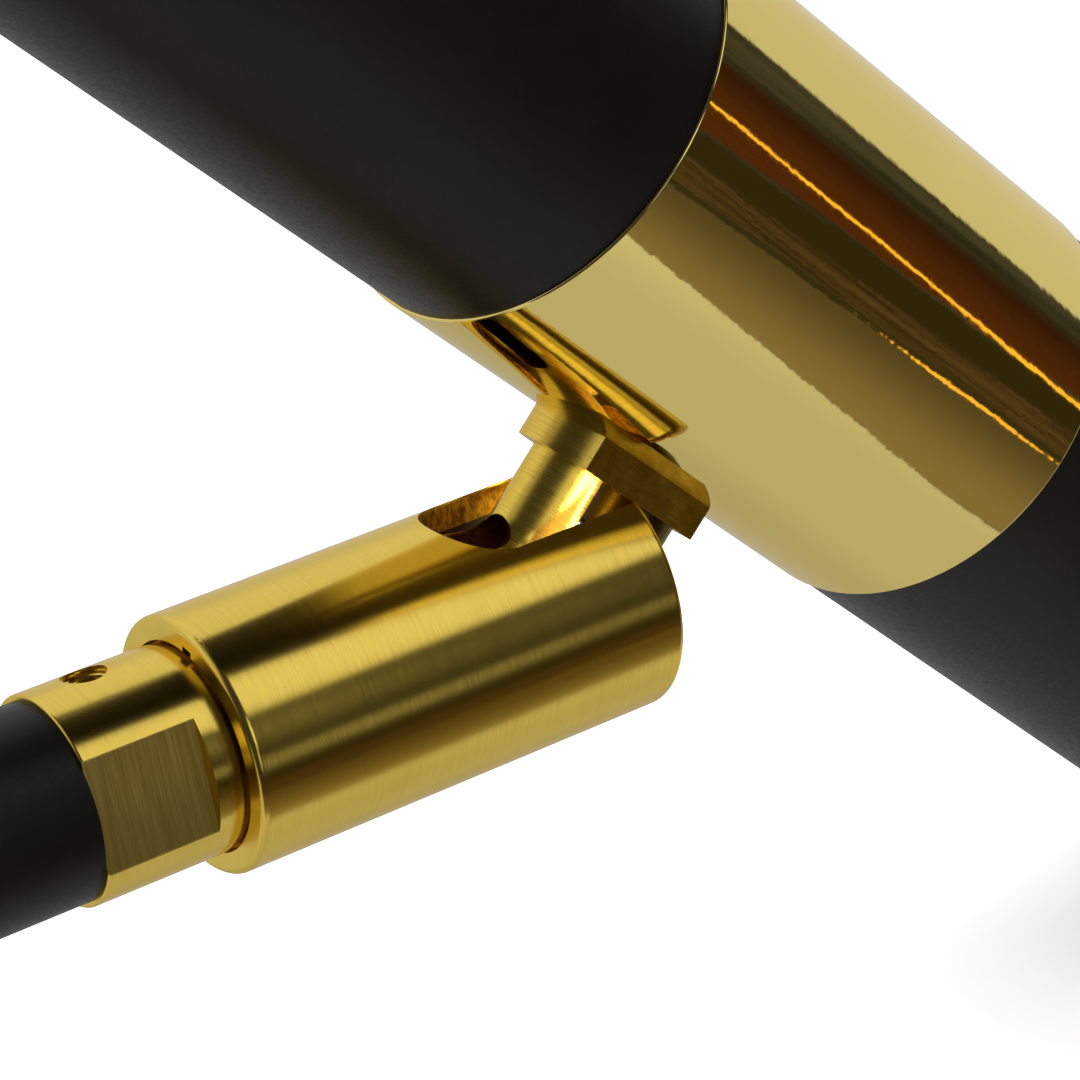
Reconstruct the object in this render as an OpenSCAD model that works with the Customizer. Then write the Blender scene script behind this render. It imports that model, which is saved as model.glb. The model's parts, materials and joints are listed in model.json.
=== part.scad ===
// Slotted ball swivel of a tubular lamp: arm tube, brass collar and sleeve, ball stud,
// mounting block and the lamp's body tube with its polished band. Units are mm.
// X runs along the arm from its open end towards the ball, Z is the slot side.
// The lamp head is drawn in its own frame: local Z along the stem, local X along the tube.

/* [Show] */

// Which sub-part to draw

/* [Joint position] */

// Angle between the arm and the stem, in degrees
stem_tilt = 45.2; // [5:1:74]

/* [Arm and collar] */

// Length from the arm tube's open end to the ball centre
ball_x = 100; // [80:1:160]
// Outside diameter of the black arm tube
arm_d = 15.3; // [14.8:0.1:15.6]
// Wall of the arm tube
arm_wall = 1.25; // [1:0.05:1.4]
// Outside diameter of the brass collar
collar_d = 16.2; // [16:0.1:16.6]
// Distance of each wrench flat from the collar's axis
flat_dist = 6.84; // [6.7:0.02:7.4]
// Turn of the collar about the arm, seen against the slot
collar_roll = 12.5; // [0:0.5:30]
// Diameter of the tapped hole for the set screw
set_hole_d = 3.5; // [3:0.1:4]

/* [Sleeve and ball] */

// Outside diameter of the slotted sleeve
sleeve_d = 20; // [19.4:0.1:21]
// Distance from the ball centre to the sleeve's front face
sleeve_front = 13.7; // [13:0.1:13.8]
// Distance from the ball centre to the sleeve's rear face
sleeve_rear = 23.9; // [23.5:0.1:25]
// Width of the slot the stem swings in
slot_w = 9.94; // [9.8:0.02:10]
// Distance from the ball centre to the middle of the slot's rounded end
slot_end = 3.1; // [2.6:0.1:3.2]
// Diameter of the ball
ball_d = 16; // [15.9:0.02:16.04]
// Diameter of the stem
stem_d = 5.98; // [5.8:0.02:6.2]
// Width of the wire channel milled in the ball and stem
wire_slot_w = 4.1; // [3.6:0.1:4.4]

/* [Lamp head] */

// Distance from the ball centre to the underside of the mounting block
block_base = 15.6; // [15.5:0.05:16]
// Thickness of the mounting block at its middle, under the band
block_t = 2.38; // [2:0.02:2.6]
// Length of the block from the stem axis to its square end
block_len = 11.2; // [10.9:0.1:14]
// Width of the block's straight part
block_w = 8.1; // [7.4:0.1:8.4]
// Outside diameter of the polished band
band_d = 35.5; // [35.2:0.1:36]
// Length of the band on the slot's rear side of the stem
band_left = 21.5; // [16:0.5:30]
// Length of the band on the front side of the stem
band_right = 27.5; // [22:0.5:34]
// Outside diameter of the black body tubes
body_d = 35; // [34.6:0.1:35.1]
// Length of tube and band on the rear side of the stem
body_left = 87; // [70:1:120]
// Length of tube and band on the front side of the stem
body_right = 93; // [70:1:130]

/* [Hidden] */

arm_r = arm_d / 2;
arm_in = arm_r - arm_wall;
arm_ream = 0.25;
body_ream = 0.3;
collar_r = collar_d / 2;
collar_rear = -35.5;
collar_round = -25.3;
round_r = 4.05;
neck_start = -23.5;
neck_r = 7.65;
spigot_start = -22.6;
spigot_end = -12.4;
nipple_r = 4.95;
wire_r = 3.4;
sleeve_r = sleeve_d / 2;
bore_r = ball_d / 2 + 0.1;
rear_hole_r = 8.2;
slot_r = slot_w / 2;
ball_r = ball_d / 2;
stem_r = stem_d / 2;
socket_r = ball_r + 0.05;
flare_r = 4;
flare_c = stem_r + flare_r;
flare_z = sqrt((ball_r + flare_r) * (ball_r + flare_r) - flare_c * flare_c);
thread_r = 2.5;
stud_bore_r = 1.6;
stud_top = 26.6;
band_r = band_d / 2;
body_r = body_d / 2;
coupler_r = 16.2;
coupler_in = 15;
coupler_left = 36;
coupler_right = 42;
block_top = block_base + block_t;
tube_h = block_top + band_r;
disc_r = 4.4;
saddle_h = 0.8;
band_edge = 0.2;
screw_p = 7.9;
screw_head_r = 3.6;
screw_head_t = 3.2;
screw_r = 1.5;
plate_base = tube_h - coupler_in;
plate_top = 22.6;
brass = [0.80, 0.62, 0.24];
band_brass = [0.86, 0.73, 0.42];
black = [0.05, 0.05, 0.055];
steel = [0.62, 0.63, 0.65];
nylon = [0.20, 0.13, 0.06];

// Cylinder along X from x0 to x1
module along_x(r, x0, x1, fn = 96)
  translate([x0, 0, 0])
    rotate([0, 90, 0])
      cylinder(r = r, h = x1 - x0, $fn = fn);

// Cylinder along Z from z0 to z1
module along_z(r, z0, z1, fn = 64)
  translate([0, 0, z0])
    cylinder(r = r, h = z1 - z0, $fn = fn);

// Ring that rounds an outer edge: r is the edge's radius, f the rounding, solid side down
module round_edge_cut(r, f, fn = 96)
  rotate_extrude($fn = fn)
    difference() {
      translate([r - f, -f])
        square([2 * f, 2 * f]);
      translate([r - f, -f])
        circle(r = f, $fn = 48);
    }

// Ring outside an arc that leaves the radius r smoothly and drops over the length h
module shoulder_cut(r, f, h)
  rotate_extrude($fn = 96)
    difference() {
      translate([neck_r, 0])
        square([r - neck_r + 1, h]);
      translate([r - f, 0])
        circle(r = f, $fn = 192);
    }

// Ring with one sharp ridge pointing inwards or outwards, for a thread groove
module v_ring(r_base, depth, half)
  rotate_extrude($fn = 64)
    polygon([[r_base, -half], [r_base + depth, 0], [r_base, half]]);

// Places what is drawn in the ball's frame
module at_ball()
  translate([ball_x, 0, 0])
    children();

// Places what is drawn in the lamp head's frame
module at_head()
  at_ball()
    rotate([0, 90 - stem_tilt, 0])
      children();

// Outline of the slot, from its rounded end to past the front face, cut down to the bore's middle
module slot_tool(r, depth) {
  translate([slot_end, 0, depth])
    cylinder(r = r, h = sleeve_r + 2 - depth, $fn = 96);
  translate([slot_end, -r, depth])
    cube([sleeve_front + 2 - slot_end, 2 * r, sleeve_r + 2 - depth]);
}

module arm_tube()
  color(black)
    difference() {
      along_x(arm_r, 0, ball_x + collar_rear);
      along_x(arm_in + arm_ream, -1, ball_x - 51.5);
      along_x(arm_in, -2, ball_x + collar_rear + 1);
    }

module arm_end_insert()
  color(steel)
    at_ball()
      difference() {
        union() {
          along_x(arm_in, -47, collar_rear);
          along_x(arm_in - 0.4, -48, -46.9);
        }
        along_x(nipple_r, -49, -33);
      }

module threaded_nipple()
  color(steel)
    at_ball()
      difference() {
        along_x(nipple_r, -51.4, -25.6);
        along_x(wire_r, -52, -24);
        for (k = [0 : 4])
          translate([-51 + k, 0, 0])
            rotate([0, 90, 0])
              difference() {
                cylinder(r = nipple_r + 1, h = 0.5, $fn = 64);
                translate([0, 0, -1])
                  cylinder(r = nipple_r - 0.35, h = 3, $fn = 64);
              }
      }

module nipple_lock_nut()
  color(steel)
    at_ball()
      difference() {
        along_x(6.1, -50.5, -48);
        along_x(nipple_r, -51, -47);
        for (a = [0 : 90 : 270])
          rotate([a, 0, 0])
            translate([-51, -0.75, 5.4])
              cube([2, 1.5, 2]);
      }

module swivel_collar()
  color(brass)
    at_ball()
      rotate([-collar_roll, 0, 0])
        difference() {
          union() {
            along_x(collar_r, collar_rear, neck_start);
            along_x(neck_r, neck_start - 0.5, spigot_start);
            along_x(7.6, spigot_start - 0.1, spigot_start + 1.2);
            along_x(bore_r - 0.05, spigot_start + 1.1, spigot_end);
          }
          // long rounding that leads the collar into the sleeve
          translate([collar_round, 0, 0])
            rotate([0, 90, 0])
              shoulder_cut(collar_r, round_r, neck_start - collar_round);
          translate([collar_rear, 0, 0])
            rotate([0, -90, 0])
              round_edge_cut(collar_r, 0.2);
          // tapped bore and wire way
          along_x(nipple_r, collar_rear - 1, -25);
          along_x(wire_r, -26, spigot_end + 1);
          // two wrench flats
          for (s = [-1, 1])
            translate([collar_rear - 1, s > 0 ? flat_dist : -flat_dist - 3, -9])
              cube([10.15, 3, 18]);
          // tapped hole for the set screw
          translate([-30.7, 0, 0])
            along_z(set_hole_d / 2 - 0.2, 3, 9, 48);
          translate([-30.7, 0, 0])
            along_z(set_hole_d / 2, collar_r - 0.35, 9, 48);
          for (k = [0 : 4])
            translate([-30.7, 0, 5.2 + 0.6 * k])
              v_ring(set_hole_d / 2 - 0.25, 0.3, 0.25);
          // thread on the spigot
          for (k = [0 : 7])
            translate([-20.2 + k, 0, 0])
              rotate([0, 90, 0])
                difference() {
                  cylinder(r = 9, h = 0.5, $fn = 64);
                  translate([0, 0, -1])
                    cylinder(r = 7.6, h = 3, $fn = 64);
                }
        }

module collar_set_screw()
  color(steel)
    at_ball()
      rotate([-collar_roll, 0, 0])
        translate([-30.7, 0, 0])
          difference() {
            along_z(set_hole_d / 2 - 0.2, nipple_r, 6.5, 48);
            along_z(0.92, 5.6, 8, 6);
          }

module swivel_sleeve()
  color(brass)
    at_ball()
      difference() {
        along_x(sleeve_r, -sleeve_rear, sleeve_front);
        translate([sleeve_front, 0, 0])
          rotate([0, 90, 0])
            round_edge_cut(sleeve_r, 0.5);
        translate([-sleeve_rear, 0, 0])
          rotate([0, -90, 0])
            round_edge_cut(sleeve_r, 0.55);
        along_x(rear_hole_r, -sleeve_rear - 1, -21.5);
        along_x(bore_r, -22, 9.5);
        along_x(slot_r, 9, sleeve_front + 1);
        // run-out of the rear thread
        translate([-sleeve_rear - 1, 0, 0])
          rotate([9, 0, 0])
            translate([0, -0.55, 7.4])
              cube([1.7, 1.1, 1.25]);
        slot_tool(slot_r, 0);
      }

module front_seat()
  color(nylon)
    at_ball()
      difference() {
        along_x(bore_r, 2.5, 9.5);
        sphere(r = socket_r, $fn = 96);
        along_x(slot_r, 0, 12);
        slot_tool(slot_r, 0);
      }

module pressure_cup()
  color(nylon)
    at_ball()
      difference() {
        along_x(bore_r - 0.05, -10.5, -3.5);
        sphere(r = socket_r, $fn = 96);
        along_x(4.6, -12, 0);
      }

module disc_springs()
  color(steel)
    at_ball()
      for (s = [0, 1])
        translate([-11.45, 0, 0])
          rotate([0, s > 0 ? 90 : -90, 0])
            rotate_extrude($fn = 72)
              polygon([[4.7, 0.42], [7.7, 0.03], [7.7, 0.48], [4.7, 0.9]]);

// Concave flare between the ball and the stem
module stem_flare()
  rotate_extrude($fn = 96)
    difference() {
      translate([0, 5.5])
        square([flare_c * ball_r / (ball_r + flare_r), flare_z - 5.5]);
      translate([flare_c, flare_z])
        circle(r = flare_r, $fn = 96);
    }

module ball_stud()
  color(brass)
    at_head()
      difference() {
        union() {
          sphere(r = ball_r, $fn = 96);
          stem_flare();
          along_z(stem_r, 5, block_base, 64);
          along_z(thread_r, block_base - 1, stud_top, 48);
        }
        along_z(stud_bore_r, -9, stud_top + 1, 48);
        // wire channel: open to the rear of the ball, rounded off in the stem
        translate([-10, 0, 7.47])
          rotate([0, 90, 0])
            cylinder(r = wire_slot_w / 2, h = 10, $fn = 64);
        translate([-10, -wire_slot_w / 2, -9])
          cube([10, wire_slot_w, 16.47]);
        for (k = [0 : 3])
          translate([0, 0, 24.55 + 0.5 * k])
            difference() {
              cylinder(r = thread_r + 1, h = 0.25, $fn = 48);
              translate([0, 0, -1])
                cylinder(r = thread_r - 0.25, h = 3, $fn = 48);
            }
      }

module mounting_block()
  color(brass)
    at_head()
      difference() {
        // round end, flattened to the width of the bar
        intersection() {
          union() {
            along_z(disc_r, block_base, block_top + saddle_h, 64);
            translate([0, -disc_r, block_base])
              cube([block_len, 2 * disc_r, block_t + saddle_h]);
          }
          translate([-disc_r - 1, -block_w / 2, block_base - 1])
            cube([block_len + disc_r + 2, block_w, block_t + 2]);
        }
        // saddle that seats on the band
        translate([0, 0, tube_h])
          along_x(band_r, -12, 20, 256);
        along_z(thread_r + 0.05, block_base - 1, block_top + 1, 48);
        translate([screw_p, 0, 0])
          along_z(screw_r + 0.2, block_base - 1, block_top + 1, 48);
      }

// Tube in the head frame, drilled for the stud and the block's screw
module drilled_tube(r_out, r_in, p0, p1)
  at_head()
    difference() {
      translate([0, 0, tube_h])
        along_x(r_out, p0, p1, 128);
      translate([0, 0, tube_h])
        along_x(r_in, p0 - 1, p1 + 1, 128);
      along_z(thread_r + 0.3, block_top, tube_h, 48);
      translate([screw_p, 0, 0])
        along_z(screw_r + 0.2, block_top, tube_h, 48);
    }

module brass_band()
  color(band_brass)
    difference() {
      drilled_tube(band_r, coupler_r, -band_left, band_right);
      at_head()
        translate([band_right, 0, tube_h])
          rotate([0, 90, 0])
            round_edge_cut(band_r, band_edge, 128);
      at_head()
        translate([-band_left, 0, tube_h])
          rotate([0, -90, 0])
            round_edge_cut(band_r, band_edge, 128);
    }

module coupler_tube()
  color(steel)
    drilled_tube(coupler_r, coupler_in, -coupler_left, coupler_right);

module body_tube_left()
  color(black)
    at_head()
      translate([0, 0, tube_h])
        difference() {
          along_x(body_r, -body_left, -band_left, 128);
          along_x(coupler_r, -body_left - 1, -band_left + 1, 128);
          along_x(coupler_r + body_ream, -body_left - 1, -coupler_left, 128);
        }

module body_tube_right()
  color(black)
    at_head()
      translate([0, 0, tube_h])
        difference() {
          along_x(body_r, band_right, body_right, 128);
          along_x(coupler_r, band_right - 1, body_right + 1, 128);
          along_x(coupler_r + body_ream, coupler_right, body_right + 1, 128);
        }

module backing_plate()
  color(steel)
    at_head()
      difference() {
        intersection() {
          translate([0, 0, tube_h])
            along_x(coupler_in, -8, 14, 128);
          translate([-8, -6, plate_base - 1])
            cube([22, 12, plate_top - plate_base + 1]);
        }
        along_z(thread_r + 0.8, 17, tube_h, 48);
        translate([screw_p, 0, 0])
          along_z(screw_r + 0.2, 17, tube_h, 48);
      }

module swivel_bush()
  color(nylon)
    at_head()
      difference() {
        union() {
          along_z(thread_r + 0.8, plate_base + 0.3, plate_top + 0.1, 48);
          along_z(3.9, plate_top, plate_top + 0.5, 48);
        }
        along_z(thread_r + 0.05, 19, 25, 48);
      }

module wave_washer()
  color(steel)
    at_head()
      difference() {
        // a hair clear of the bush, which turns under it
        along_z(3.8, plate_top + 0.52, plate_top + 0.9, 48);
        along_z(thread_r + 0.05, 22, 25, 48);
      }

module stud_washer()
  color(steel)
    at_head()
      difference() {
        along_z(3.9, plate_top + 0.9, plate_top + 1.5, 48);
        along_z(thread_r, 23, 25, 48);
      }

module stud_nut()
  color(steel)
    at_head()
      difference() {
        intersection() {
          along_z(4.04, plate_top + 1.5, plate_top + 3.6, 6);
          along_z(3.95, plate_top + 1.5, plate_top + 3.6, 48);
        }
        along_z(thread_r, 23, 28, 48);
      }

module block_screw()
  color(steel)
    at_head()
      translate([screw_p, 0, 0])
        difference() {
          union() {
            along_z(screw_head_r, block_base - screw_head_t, block_base, 64);
            along_z(screw_r, block_base - 0.1, 26.4, 48);
          }
          translate([0, 0, block_base - screw_head_t])
            rotate([180, 0, 0])
              round_edge_cut(screw_head_r, 0.35);
          for (a = [0, 90])
            rotate([0, 0, a])
              translate([-1.9, -0.4, block_base - screw_head_t - 1])
                cube([3.8, 0.8, 1.8]);
        }

module screw_washer()
  color(steel)
    at_head()
      translate([screw_p, 0, 0])
        difference() {
          along_z(3.2, plate_top, plate_top + 0.6, 48);
          along_z(screw_r, 20, 25, 48);
        }

module block_nut()
  color(steel)
    at_head()
      translate([screw_p, 0, 0])
        difference() {
          along_z(3.17, plate_top + 0.6, plate_top + 3, 6);
          along_z(screw_r, 20, 28, 48);
        }

arm_tube();
arm_end_insert();
threaded_nipple();
nipple_lock_nut();
swivel_collar();
collar_set_screw();
swivel_sleeve();
front_seat();
pressure_cup();
disc_springs();
ball_stud();
swivel_bush();
stud_washer();
wave_washer();
stud_nut();
mounting_block();
block_screw();
screw_washer();
block_nut();
brass_band();
coupler_tube();
body_tube_left();
body_tube_right();
backing_plate();
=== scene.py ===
import json
import math

import bpy
from mathutils import Matrix, Vector


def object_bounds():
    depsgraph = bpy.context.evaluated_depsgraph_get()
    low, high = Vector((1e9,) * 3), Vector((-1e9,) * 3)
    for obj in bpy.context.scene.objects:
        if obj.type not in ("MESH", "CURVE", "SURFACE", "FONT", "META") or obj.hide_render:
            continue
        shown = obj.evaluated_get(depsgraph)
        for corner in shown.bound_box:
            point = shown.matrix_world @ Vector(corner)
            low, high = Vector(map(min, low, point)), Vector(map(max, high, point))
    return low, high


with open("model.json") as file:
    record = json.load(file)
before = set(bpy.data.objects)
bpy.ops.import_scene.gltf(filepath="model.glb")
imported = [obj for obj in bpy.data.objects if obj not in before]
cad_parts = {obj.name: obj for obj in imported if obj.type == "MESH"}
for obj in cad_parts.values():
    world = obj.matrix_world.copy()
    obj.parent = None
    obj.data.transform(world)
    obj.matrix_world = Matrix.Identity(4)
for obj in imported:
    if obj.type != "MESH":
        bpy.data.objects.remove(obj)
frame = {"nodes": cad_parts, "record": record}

cad_low, cad_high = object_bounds()

MM = 0.001

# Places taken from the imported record: ball centre, stem direction and the lamp tube's direction
joints = {j["name"]: j for j in frame["record"]["behaviour"]["joints"]}
BALL = Vector(joints["ball_tilt"]["pos_m"])
STEM_DIR = Vector(joints["head_swivel"]["axis"]).normalized()
ARM_DIR = Vector((1, 0, 0))
ACROSS = Vector((0, 1, 0))
SLOT_DIR = Vector((0, 0, 1))
TUBE_DIR = ACROSS.cross(STEM_DIR).normalized()

# ---------------------------------------------------------------- node helpers


class Nodes:
    """Builds a node tree step by step; nearly every method returns an output socket."""

    def __init__(self, tree):
        self.tree = tree
        tree.nodes.clear()

    def new(self, kind, **settings):
        node = self.tree.nodes.new(kind)
        for key, value in settings.items():
            setattr(node, key, value)
        return node

    def feed(self, socket, value):
        if isinstance(value, bpy.types.NodeSocket):
            self.tree.links.new(value, socket)
        else:
            socket.default_value = value

    def math(self, operation, a, b=0.0):
        node = self.new("ShaderNodeMath", operation=operation)
        self.feed(node.inputs[0], a)
        self.feed(node.inputs[1], b)
        return node.outputs[0]

    def product(self, first, *others):
        for other in others:
            first = self.math("MULTIPLY", first, other)
        return first

    def subtract(self, a, b):
        node = self.new("ShaderNodeVectorMath", operation="SUBTRACT")
        self.feed(node.inputs[0], a)
        self.feed(node.inputs[1], b)
        return node.outputs[0]

    def dot(self, vector, axis):
        node = self.new("ShaderNodeVectorMath", operation="DOT_PRODUCT")
        self.feed(node.inputs[0], vector)
        self.feed(node.inputs[1], tuple(axis))
        return node.outputs["Value"]

    def length(self, vector):
        node = self.new("ShaderNodeVectorMath", operation="LENGTH")
        self.feed(node.inputs[0], vector)
        return node.outputs["Value"]

    def step(self, value, low, high, out_low=0.0, out_high=1.0):
        """Smooth ramp from out_low at low to out_high at high; low may be above high."""
        node = self.new("ShaderNodeMapRange", interpolation_type="SMOOTHSTEP")
        self.feed(node.inputs["Value"], value)
        self.feed(node.inputs["From Min"], low)
        self.feed(node.inputs["From Max"], high)
        self.feed(node.inputs["To Min"], out_low)
        self.feed(node.inputs["To Max"], out_high)
        return node.outputs[0]

    def noise(self, vector, *, scale, detail, roughness=0.5):
        node = self.new("ShaderNodeTexNoise")
        self.feed(node.inputs["Vector"], vector)
        self.feed(node.inputs["Scale"], scale)
        self.feed(node.inputs["Detail"], detail)
        self.feed(node.inputs["Roughness"], roughness)
        return node.outputs["Fac"]

    def mix(self, factor, a, b):
        node = self.new("ShaderNodeMix", data_type="RGBA")
        self.feed(node.inputs["Factor"], factor)
        self.feed(node.inputs[6], a)
        self.feed(node.inputs[7], b)
        return node.outputs[2]

    def mix_value(self, factor, a, b):
        node = self.new("ShaderNodeMix", data_type="FLOAT")
        self.feed(node.inputs[0], factor)
        self.feed(node.inputs[2], a)
        self.feed(node.inputs[3], b)
        return node.outputs[0]

    def combine(self, x, y, z):
        node = self.new("ShaderNodeCombineXYZ")
        self.feed(node.inputs[0], x)
        self.feed(node.inputs[1], y)
        self.feed(node.inputs[2], z)
        return node.outputs[0]

    def bump(self, height, distance, normal=None):
        node = self.new("ShaderNodeBump")
        self.feed(node.inputs["Height"], height)
        self.feed(node.inputs["Distance"], distance)
        self.feed(node.inputs["Strength"], 1.0)
        if normal is not None:
            self.feed(node.inputs["Normal"], normal)
        return node.outputs[0]


def rgb(red, green, blue):
    return (red, green, blue, 1.0)


def direction(azimuth, elevation):
    """Unit vector; azimuth is counted from +X towards +Y."""
    az, el = math.radians(azimuth), math.radians(elevation)
    return Vector((math.cos(az) * math.cos(el), math.sin(az) * math.cos(el), math.sin(el)))


def cosine(degrees):
    return math.cos(math.radians(degrees))


class Paint:
    """A principled material with its node builder and object coordinates."""

    def __init__(self, name, metallic=0.0):
        self.material = bpy.data.materials.new(name)
        self.material.use_nodes = True
        self.build = Nodes(self.material.node_tree)
        self.shader = self.build.new("ShaderNodeBsdfPrincipled")
        output = self.build.new("ShaderNodeOutputMaterial")
        self.build.feed(output.inputs["Surface"], self.shader.outputs[0])
        self.position = self.build.new("ShaderNodeTexCoord").outputs["Object"]
        self.shader.inputs["Metallic"].default_value = metallic

    def set(self, **values):
        for name, value in values.items():
            self.build.feed(self.shader.inputs[name.replace("_", " ")], value)

    def link_of(self, name):
        return self.shader.inputs[name].links[0].from_socket

    def cover(self, mask, colour, roughness=None):
        """Lays another colour and roughness over the places where mask is 1."""
        old = self.link_of("Base Color")
        self.set(Base_Color=self.build.mix(mask, old, colour))
        if roughness is not None:
            old = self.link_of("Roughness")
            self.set(Roughness=self.build.mix_value(mask, old, roughness))

    def emboss(self, height, distance):
        """Adds relief on top of the relief that is already there."""
        self.set(Normal=self.build.bump(height, distance, self.link_of("Normal")))

    def place(self, origin, axis, side):
        """Coordinates along axis, along side and across both, measured from origin."""
        offset = self.build.subtract(self.position, tuple(origin))
        return tuple(self.build.dot(offset, d) for d in (axis, side, axis.cross(side)))


# ---------------------------------------------------------------- materials

BRASS = rgb(0.80, 0.575, 0.105)
STUD_BRASS = rgb(0.80, 0.56, 0.085)
BLOCK_BRASS = rgb(0.78, 0.54, 0.09)
# Brown brass, darkened to near black as painted shade under the bar and sleeve
SCREW_SHADED_BRONZE = rgb(0.085, 0.055, 0.018)
TARNISH = rgb(0.55, 0.34, 0.04)
EDGE_TINT = rgb(1.0, 0.93, 0.74)
GROUND_COARSE = rgb(0.55, 0.38, 0.07)
# Painted shade laid over the lower part of the collar's flats
GROUND_SHADE = rgb(0.40, 0.27, 0.045)

# Pairs of tones that one finish wanders between
MILLED_BRASS = (rgb(0.36, 0.17, 0.018), rgb(0.95, 0.60, 0.09))
GROUND_BRASS = (rgb(0.78, 0.56, 0.12), rgb(1.0, 0.80, 0.26))
POLISHED_BRASS = (rgb(0.86, 0.69, 0.225), rgb(0.82, 0.655, 0.205))
# Painted shade: brass darkened for the inside of the stud's wire channel
CHANNEL_SHADE_BRASS = (rgb(0.30, 0.11, 0.018), rgb(0.50, 0.22, 0.045))
DULL_BRASS = (rgb(0.40, 0.25, 0.016), rgb(0.60, 0.42, 0.055))
BLACK_COAT = (rgb(0.0042, 0.0040, 0.0038), rgb(0.0065, 0.0062, 0.0058))
ZINC = (rgb(0.52, 0.53, 0.56), rgb(0.66, 0.66, 0.67))
ALUMINIUM = (rgb(0.62, 0.62, 0.64), rgb(0.74, 0.74, 0.75))
NYLON = (rgb(0.030, 0.014, 0.006), rgb(0.055, 0.028, 0.012))

# Sizes that separate one finish from another on the same piece
SLEEVE_SKIN = 9.86 * MM
REAR_HOLE_END = -22.5 * MM
COLLAR_SKIN = 8.08 * MM
FLAT_DEPTH = 6.87 * MM
FLAT_INNER = 6.80 * MM
FLAT_END = -26.30 * MM
COLLAR_ROLL = math.radians(12.5)
STEM_SKIN = 2.95 * MM
STEM_FOOT = 15.5 * MM
BALL_SKIN = 7.96 * MM
BAR_START = -1.75 * MM


def turning_lines(build, along, first, second, pitch, drift):
    """Fine lines that run round an axis: fast change along it, slow change round it."""
    stretched = build.combine(
        build.math("MULTIPLY", along, 1 / pitch),
        build.math("MULTIPLY", first, 1 / drift),
        build.math("MULTIPLY", second, 1 / drift),
    )
    return build.noise(stretched, scale=1.0, detail=3.0, roughness=0.65)


def turned_brass(name, axis, side, tone, *, pitch, relief, rough, streak, anisotropy=0.0):
    """Brass turned or brushed round an axis through the ball's centre."""
    paint = Paint(name, metallic=1.0)
    build = paint.build
    place = paint.place(BALL, axis, side)
    lines = turning_lines(build, *place, pitch, 6 * MM)
    broad = build.noise(paint.position, scale=140.0, detail=3.0)
    dark = tuple(0.82 * c for c in tone[:3]) + (1.0,)
    colour = build.mix(build.product(build.step(lines, 0.35, 0.7), streak), tone, dark)
    colour = build.mix(build.step(broad, 0.45, 0.75, 0.0, 0.12), colour, TARNISH)
    paint.set(
        Base_Color=colour,
        Roughness=build.step(lines, 0.3, 0.7, rough * 0.85, rough * 1.2),
        Anisotropic=anisotropy,
        Anisotropic_Rotation=0.25,
        Specular_Tint=EDGE_TINT,
        Normal=build.bump(lines, relief),
    )
    return paint, place


def brushed_brass(name):
    """The sleeve's and collar's finish: brushed round the arm."""
    paint, place = turned_brass(
        name, ARM_DIR, SLOT_DIR, BRASS,
        pitch=0.045 * MM, relief=0.001 * MM, rough=0.20, streak=0.5, anisotropy=0.7,
    )
    tangent = paint.build.new("ShaderNodeTangent", direction_type="RADIAL", axis="X")
    paint.set(Tangent=tangent.outputs[0])
    return paint, place


def sleeve_material():
    """Brushed outside, raw amber milling in the slot and bore."""
    paint, (along, up, across) = brushed_brass("brushed_brass_sleeve")
    build = paint.build
    radius = build.length(build.combine(0.0, up, across))
    inside = build.step(radius, SLEEVE_SKIN, SLEEVE_SKIN - 0.06 * MM)
    milled = build.product(inside, build.step(along, REAR_HOLE_END, REAR_HOLE_END + 1 * MM))
    stretched = build.combine(
        build.math("MULTIPLY", along, 900.0),
        build.math("MULTIPLY", up, 350.0),
        build.math("MULTIPLY", across, 900.0),
    )
    chatter = build.noise(stretched, scale=2.2, detail=5.0, roughness=0.7)
    raw = build.mix(build.step(chatter, 0.35, 0.65), *MILLED_BRASS)
    paint.cover(milled, raw, 0.5)
    paint.emboss(build.product(chatter, milled), 0.05 * MM)
    return paint.material


def collar_material():
    """Brushed like the sleeve, with duller wrench flats that were ground across the axis."""
    paint, place = brushed_brass("brushed_brass_collar")
    along, up, across = place
    build = paint.build
    flat_normal = Vector((0, -math.cos(COLLAR_ROLL), math.sin(COLLAR_ROLL)))
    depth = build.math("ABSOLUTE", build.dot(paint.position, flat_normal))
    radius = build.length(build.combine(0.0, up, across))
    on_flat = build.product(
        build.step(depth, FLAT_DEPTH, FLAT_DEPTH - 0.02 * MM),
        build.step(depth, FLAT_INNER, FLAT_INNER + 0.03 * MM),
        build.step(radius, COLLAR_SKIN, COLLAR_SKIN - 0.03 * MM),
        build.step(radius, FLAT_INNER, FLAT_INNER + 0.03 * MM),
        build.step(along, FLAT_END, FLAT_END - 0.04 * MM),
    )
    scratch = turning_lines(build, *place, 0.16 * MM, 9 * MM)
    coarse = turning_lines(build, *place, 0.9 * MM, 14 * MM)
    ground = build.mix(build.step(scratch, 0.35, 0.7), *GROUND_BRASS)
    ground = build.mix(build.step(coarse, 0.4, 0.7, 0.0, 0.45), ground, GROUND_COARSE)
    # Painted shade: the ground flats get darker towards the bottom, where less light falls on them
    lower_flat_shade = build.step(up, 4.0 * MM, -3.0 * MM, 0.0, 0.42)
    ground = build.mix(lower_flat_shade, ground, GROUND_SHADE)
    paint.cover(on_flat, ground, 0.58)
    paint.emboss(build.product(build.math("ADD", scratch, coarse), on_flat), 0.018 * MM)
    return paint.material


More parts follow.
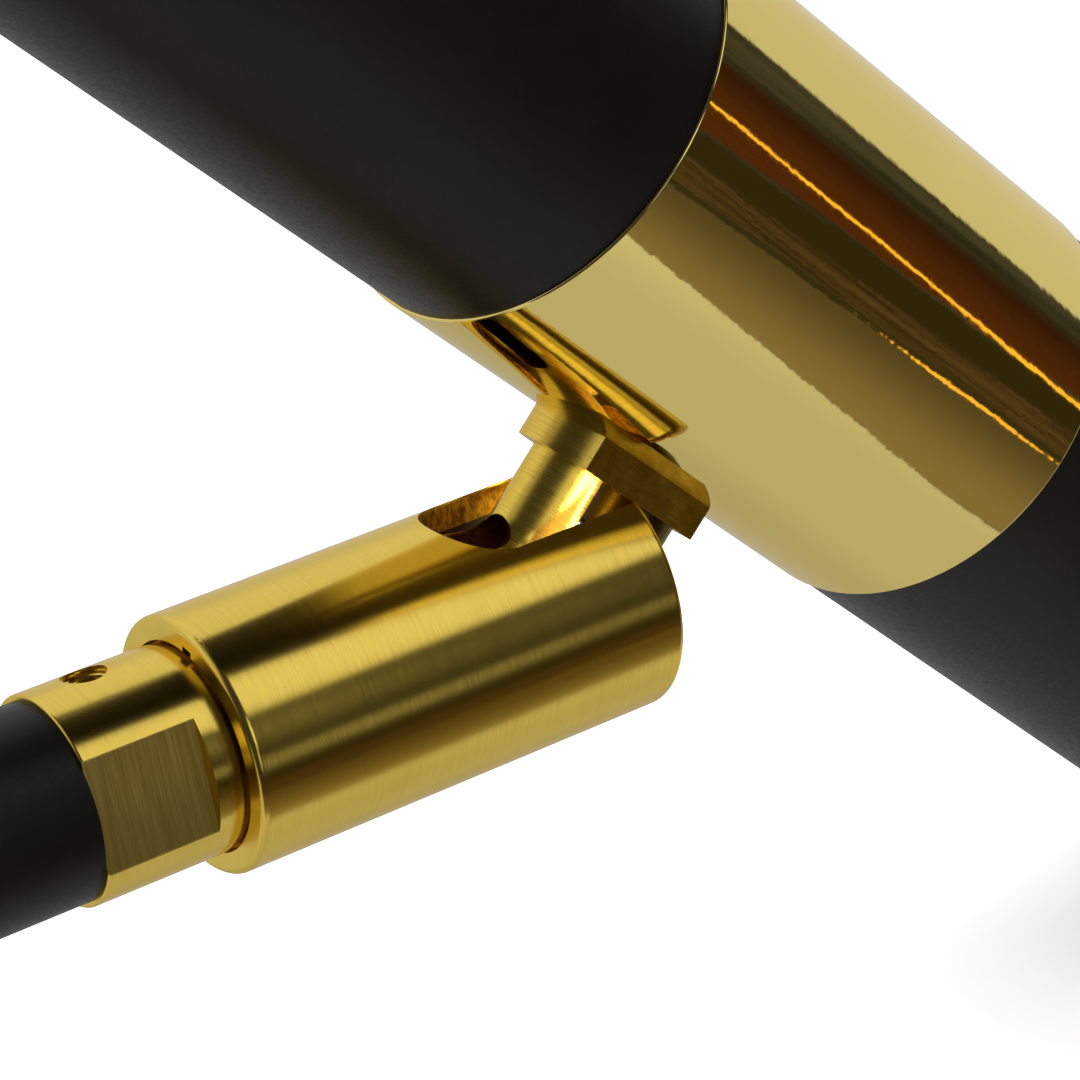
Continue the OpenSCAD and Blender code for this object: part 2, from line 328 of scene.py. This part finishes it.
def band_material():
    """Polished brass: almost a mirror, with the faint ripple of hand polishing."""
    paint = Paint("polished_brass_band", metallic=1.0)
    build = paint.build
    fine = build.noise(paint.position, scale=900.0, detail=4.0, roughness=0.7)
    ripple = build.noise(paint.position, scale=210.0, detail=3.0, roughness=0.6)
    swell = build.noise(paint.position, scale=35.0, detail=2.0)
    paint.set(
        Base_Color=build.mix(build.step(swell, 0.3, 0.7), *POLISHED_BRASS),
        Specular_Tint=EDGE_TINT,
        Roughness=build.step(fine, 0.3, 0.8, 0.03, 0.06),
        Normal=build.bump(ripple, 0.016 * MM, build.bump(fine, 0.0006 * MM)),
    )
    return paint.material


def stud_material():
    """Turned stem; the milled wire channel is rougher, and painted darker as shade inside the
    bore.
    """
    paint, place = turned_brass(
        "turned_brass_stud", STEM_DIR, TUBE_DIR, STUD_BRASS,
        pitch=0.07 * MM, relief=0.002 * MM, rough=0.27, streak=0.6,
    )
    along, side, across = place
    build = paint.build
    local = build.combine(*place)
    radius = build.length(build.combine(0.0, side, across))
    cloud = build.noise(local, scale=700.0, detail=4.0)
    # The channel's and slot's dark brown is painted shade inside the recess, over rougher milled
    # brass
    raw = build.mix(build.step(cloud, 0.3, 0.7), *CHANNEL_SHADE_BRASS)
    in_stem = build.product(
        build.step(radius, STEM_SKIN, STEM_SKIN - 0.05 * MM),
        build.step(along, STEM_FOOT, STEM_FOOT - 0.1 * MM),
    )
    in_ball = build.step(build.length(local), BALL_SKIN, BALL_SKIN - 0.06 * MM)
    paint.cover(build.math("MAXIMUM", in_stem, in_ball), raw, 0.45)
    return paint.material


def block_material():
    """Turned round end, dull milled bar."""
    paint, place = turned_brass(
        "milled_brass_block", STEM_DIR, TUBE_DIR, BLOCK_BRASS,
        pitch=0.12 * MM, relief=0.003 * MM, rough=0.27, streak=0.7,
    )
    side = place[1]
    build = paint.build
    stains = build.noise(build.combine(*place), scale=420.0, detail=5.0, roughness=0.7)
    dull = build.mix(build.step(stains, 0.35, 0.7), *DULL_BRASS)
    paint.cover(build.step(side, BAR_START, BAR_START + 0.05 * MM), dull)
    return paint.material


def screw_material():
    """Brown lacquered brass of the screw under the block, painted near black as the shade it sits
    in.
    """
    paint, place = turned_brass(
        "screw_bronze_and_shade", STEM_DIR, TUBE_DIR, SCREW_SHADED_BRONZE,
        pitch=0.2 * MM, relief=0.006 * MM, rough=0.34, streak=0.7,
    )
    return paint.material


def black_material():
    """Satin black powder coat: very dark, with fine orange peel."""
    paint = Paint("black_satin_powder_coat")
    build = paint.build
    grain = build.noise(paint.position, scale=2600.0, detail=3.0, roughness=0.6)
    peel = build.noise(paint.position, scale=900.0, detail=2.0, roughness=0.5)
    tone = build.step(build.noise(paint.position, scale=60.0, detail=3.0), 0.3, 0.7)
    paint.set(
        Base_Color=build.mix(tone, *BLACK_COAT),
        Roughness=build.step(grain, 0.3, 0.7, 0.32, 0.44),
        Specular_IOR_Level=0.17,
        Normal=build.bump(peel, 0.004 * MM, build.bump(grain, 0.0025 * MM)),
    )
    return paint.material


def steel_material():
    """Bright zinc plate on small turned steel parts."""
    paint = Paint("zinc_plated_steel", metallic=1.0)
    build = paint.build
    cloud = build.noise(paint.position, scale=500.0, detail=4.0, roughness=0.6)
    fine = build.noise(paint.position, scale=4200.0, detail=3.0, roughness=0.6)
    paint.set(
        Base_Color=build.mix(build.step(cloud, 0.3, 0.7), *ZINC),
        Roughness=build.step(cloud, 0.3, 0.7, 0.24, 0.38),
        Normal=build.bump(fine, 0.002 * MM),
    )
    return paint.material


def aluminium_material():
    """Drawn aluminium, faint lines along the lamp tube."""
    paint = Paint("drawn_aluminium", metallic=1.0)
    build = paint.build
    along, side, across = paint.place(BALL, TUBE_DIR, STEM_DIR)
    slow = build.math("MULTIPLY", along, 0.05)
    lines = turning_lines(build, side, slow, across, 0.2 * MM, 0.2 * MM)
    paint.set(
        Base_Color=build.mix(build.step(lines, 0.3, 0.7), *ALUMINIUM),
        Roughness=build.step(lines, 0.3, 0.7, 0.3, 0.45),
        Normal=build.bump(lines, 0.003 * MM),
    )
    return paint.material


def nylon_material():
    """Dark moulded nylon."""
    paint = Paint("dark_nylon")
    build = paint.build
    cloud = build.noise(paint.position, scale=700.0, detail=4.0, roughness=0.6)
    paint.set(
        Base_Color=build.mix(build.step(cloud, 0.3, 0.7), *NYLON),
        Roughness=build.step(cloud, 0.3, 0.7, 0.42, 0.6),
        Normal=build.bump(cloud, 0.01 * MM),
    )
    return paint.material


black = black_material()
steel = steel_material()
aluminium = aluminium_material()
nylon = nylon_material()

FINISHES = {
    "arm_tube": black,
    "body_tube_left": black,
    "body_tube_right": black,
    "swivel_sleeve": sleeve_material(),
    "swivel_collar": collar_material(),
    "brass_band": band_material(),
    "ball_stud": stud_material(),
    "mounting_block": block_material(),
    "block_screw": screw_material(),
    "front_seat": nylon,
    "pressure_cup": nylon,
    "swivel_bush": nylon,
    "coupler_tube": aluminium,
    "backing_plate": aluminium,
}
for node, piece in frame["nodes"].items():
    piece.data.materials.clear()
    piece.data.materials.append(FINISHES.get(node, steel))

# ---------------------------------------------------------------- stage

FLOOR_SIZE = 6.0
FLOOR_GAP = 0.2 * MM
FLOOR_GLOW = 0.45
FLOOR_PALE = (rgb(0.90, 0.90, 0.90), rgb(0.93, 0.93, 0.93))
WHITE = rgb(1.0, 1.0, 1.0)
BOUNCE_COLOUR = (1.0, 0.93, 0.75)


def make_floor():
    """Plain pale floor just under the object, kept out of the metal's reflections."""
    half = FLOOR_SIZE / 2
    corners = [(-half, -half, 0), (half, -half, 0), (half, half, 0), (-half, half, 0)]
    mesh = bpy.data.meshes.new("studio_floor")
    mesh.from_pydata(corners, [], [(0, 1, 2, 3)])
    floor = bpy.data.objects.new("studio_floor", mesh)
    floor.location = (BALL.x, 0, cad_low.z - FLOOR_GAP)
    bpy.context.scene.collection.objects.link(floor)
    paint = Paint("pale_floor")
    build = paint.build
    mottle = build.step(build.noise(paint.position, scale=6.0, detail=3.0), 0.3, 0.7)
    paint.set(
        Base_Color=build.mix(mottle, *FLOOR_PALE),
        Roughness=0.9,
        Specular_IOR_Level=0.1,
        Emission_Color=WHITE,
        Emission_Strength=FLOOR_GLOW,
    )
    mesh.materials.append(paint.material)
    floor.visible_glossy = False


# The studio as the metal sees it: brightness of the white sweep and of the dark room
SWEEP_HIGH = 0.88
SWEEP_MID = 0.69
SWEEP_LOW = 0.58
SWEEP_DIM = 0.50
SWEEP_SHADE = (75, -45)
SWEEP_NORMAL = (85, -30)
SWEEP_EDGE = -0.02
SWEEP_SOFT = 0.012
ROOM = 0.048
SOFTBOXES = (
    # azimuth, elevation, radius, softness in degrees, brightness
    (-45, 48, 17.0, 3.0, 1.10),
    (135, 30, 36.0, 6.0, 0.50),
    (-88, 24, 12.0, 4.0, 1.5),
    (-98, 2, 8.0, 5.0, 0.9),
    (-64, -4, 4.0, 3.0, 0.42),
)

# What stands on the camera's side; heights are sines of the elevation
RED_WALL = (-31, -5)
WALL_LAMP = (-42, -9)
WALL_FOOT = -0.20
CARPET_TOP = -0.31
TABLE_EDGE_TOP = -0.43
TABLE_TOP = -0.458
WALL = (rgb(0.040, 0.014, 0.006), rgb(0.095, 0.030, 0.010))
WALL_STAIN = rgb(0.030, 0.012, 0.006)
SHADOW = rgb(0.034, 0.028, 0.012)
CARPET = (rgb(0.040, 0.027, 0.014), rgb(0.105, 0.070, 0.038))
TABLE_EDGE = rgb(0.040, 0.036, 0.018)
TABLE = (rgb(0.105, 0.082, 0.050), rgb(0.270, 0.212, 0.135))
WARM_LINE = rgb(1.5, 0.80, 0.12)
WARM_LINES = (
    # azimuth, elevation, direction across the line, half width, half length in degrees
    (-34, -9, (56, 0), 0.008, 4.3),
    (-51.7, -27.3, (0, 90), 0.0065, 1.2),
)


def cone(build, look, centre, outer, inner):
    """1 inside the inner angle round a direction, 0 outside the outer angle, in degrees."""
    return build.step(build.dot(look, direction(*centre)), cosine(outer), cosine(inner))


def sweep_light(build, look, height):
    """The white sweep: brighter overhead, dimmer low down and behind."""
    white = build.mix_value(build.step(height, 0.1, 0.5), SWEEP_MID, SWEEP_HIGH)
    white = build.mix_value(build.step(height, -0.72, -0.9), white, SWEEP_LOW)
    return build.mix_value(cone(build, look, SWEEP_SHADE, 42, 16), white, SWEEP_DIM)


def sweep_mask(build, look, height, shift):
    """1 where the sweep is seen; its near edge runs on under the table's end."""
    edge = build.math("ADD", build.dot(look, direction(*SWEEP_NORMAL)), build.product(shift, 0.3))
    mask = build.step(edge, SWEEP_EDGE - SWEEP_SOFT, SWEEP_EDGE + SWEEP_SOFT)
    run_on = build.product(
        build.step(build.dot(look, ARM_DIR), 0.190, 0.182), build.step(height, -0.70, -0.72)
    )
    return build.math("MAXIMUM", mask, run_on)


def room_colours(build, look, height, shift, dim, colour):
    """The camera's side from eye level down: red-brown wall, shadow, carpet, tan table."""
    edge = build.math("ADD", height, shift)
    grain = build.noise(look, scale=40.0, detail=4.0, roughness=0.7)
    carpet = build.mix(build.step(grain, 0.35, 0.65), *CARPET)
    table = build.mix(build.step(height, -0.45, -0.80), *TABLE)
    for top, soft, stripe in (
        (WALL_FOOT, 0.012, SHADOW),
        (CARPET_TOP, 0.020, carpet),
        (TABLE_EDGE_TOP, 0.010, TABLE_EDGE),
        (TABLE_TOP, 0.008, table),
    ):
        below = build.step(edge, top, top - soft)
        colour = build.mix(build.product(below, dim), colour, stripe)
    wall = build.mix(cone(build, look, WALL_LAMP, 24, 7), *WALL)
    wall = build.mix(build.step(grain, 0.35, 0.75, 0.0, 0.35), wall, WALL_STAIN)
    above = build.step(edge, WALL_FOOT, WALL_FOOT + 0.015)
    on_wall = build.product(cone(build, look, RED_WALL, 17, 11), dim, above)
    return build.mix(on_wall, colour, wall)


def warm_lines(build, look, colour):
    """Two thin warm lines: the lit edges of a lamp and of a shelf."""
    wobble = build.math("SUBTRACT", build.noise(look, scale=26.0, detail=3.0, roughness=0.55), 0.5)
    wobble = build.product(wobble, 0.022)
    for azimuth, elevation, across, half, length in WARM_LINES:
        centre = direction(azimuth, elevation)
        side = direction(*across)
        offset = build.math("ADD", build.dot(look, side), wobble)
        offset = build.math("ABSOLUTE", build.math("SUBTRACT", offset, centre.dot(side)))
        line = build.step(offset, half * 1.6, half * 0.6)
        near = cone(build, look, (azimuth, elevation), length + 0.4, length)
        colour = build.mix(build.product(line, near), colour, WARM_LINE)
    return colour


def make_studio():
    """White sweep behind and below, soft boxes, and a darker room on the camera's side."""
    world = bpy.data.worlds.new("studio")
    bpy.context.scene.world = world
    world.use_nodes = True
    build = Nodes(world.node_tree)
    look = build.new("ShaderNodeTexCoord").outputs["Generated"]
    height = build.dot(look, SLOT_DIR)
    clutter = build.noise(look, scale=9.0, detail=4.0, roughness=0.6)
    shift = build.product(build.math("SUBTRACT", clutter, 0.5), 0.05)
    on_sweep = sweep_mask(build, look, height, shift)
    level = build.step(clutter, 0.35, 0.65, 0.6 * ROOM, 1.4 * ROOM)
    level = build.mix_value(on_sweep, level, sweep_light(build, look, height))
    for azimuth, elevation, radius, soft, brightness in SOFTBOXES:
        box = cone(build, look, (azimuth, elevation), radius + soft, radius - soft)
        level = build.mix_value(box, level, build.math("MAXIMUM", level, brightness))
    dim = build.product(build.step(level, 0.12, 0.07), build.math("SUBTRACT", 1.0, on_sweep))
    colour = room_colours(build, look, height, shift, dim, build.combine(level, level, level))
    room_light = build.new("ShaderNodeBackground")
    build.feed(room_light.inputs["Color"], warm_lines(build, look, colour))
    backdrop = build.new("ShaderNodeBackground")
    backdrop.inputs["Color"].default_value = WHITE
    mixer = build.new("ShaderNodeMixShader")
    build.feed(mixer.inputs[0], build.new("ShaderNodeLightPath").outputs["Is Camera Ray"])
    build.feed(mixer.inputs[1], room_light.outputs[0])
    build.feed(mixer.inputs[2], backdrop.outputs[0])
    build.feed(build.new("ShaderNodeOutputWorld").inputs["Surface"], mixer.outputs[0])


def make_area(name, *, azimuth, elevation, distance, size, watts):
    """A round soft light that faces the ball's centre and isn't seen by the camera."""
    light = bpy.data.lights.new(name, "AREA")
    light.shape = "DISK"
    light.size = size
    light.energy = watts
    lamp = bpy.data.objects.new(name, light)
    towards = direction(azimuth, elevation)
    turn = towards.to_track_quat("Z", "Y").to_matrix().to_4x4()
    lamp.matrix_world = Matrix.Translation(BALL + towards * distance) @ turn
    lamp.visible_camera = False
    bpy.context.scene.collection.objects.link(lamp)
    return lamp


def make_lights():
    """A soft fill from above, and a warm bounce that only the turned stud receives."""
    fill = make_area(
        "overhead_soft", azimuth=90, elevation=85, distance=1.2, size=1.6, watts=17.0
    )
    fill.visible_glossy = False
    bounce = make_area(
        "stem_bounce", azimuth=-40, elevation=-32, distance=0.3, size=0.54, watts=9.0
    )
    bounce.data.color = BOUNCE_COLOUR
    receivers = bpy.data.collections.new("stem_bounce_receivers")
    blockers = bpy.data.collections.new("stem_bounce_blockers")
    for group in (receivers, blockers):
        group.objects.link(frame["nodes"]["ball_stud"])
    bounce.light_linking.receiver_collection = receivers
    bounce.light_linking.blocker_collection = blockers


make_floor()
make_studio()
make_lights()

# ---------------------------------------------------------------- camera

AIM = BALL + Vector((7.207, -1.015, 6.204)) * MM
VIEW_AZIMUTH = -33.489
VIEW_ELEVATION = 26.769
VIEW_ROLL = -4.605
VIEW_DISTANCE = 315.88 * MM
LENS_MM = 139.93
SENSOR_MM = 36.0
CLIP_START = 0.01


def make_camera():
    az, el, roll = (math.radians(v) for v in (VIEW_AZIMUTH, VIEW_ELEVATION, VIEW_ROLL))
    back = Vector((math.sin(az) * math.cos(el), -math.cos(az) * math.cos(el), math.sin(el)))
    level = Vector((math.cos(az), math.sin(az), 0))
    upright = back.cross(level)
    right = level * math.cos(roll) + upright * math.sin(roll)
    up = back.cross(right)
    data = bpy.data.cameras.new("photo_view")
    data.lens = LENS_MM
    data.sensor_width = SENSOR_MM
    data.clip_start = CLIP_START
    camera = bpy.data.objects.new("photo_view", data)
    turn = Matrix((right, up, back)).transposed().to_4x4()
    camera.matrix_world = Matrix.Translation(AIM + back * VIEW_DISTANCE) @ turn
    bpy.context.scene.collection.objects.link(camera)
    bpy.context.scene.camera = camera


make_camera()
bpy.context.scene.view_settings.view_transform = "Standard"
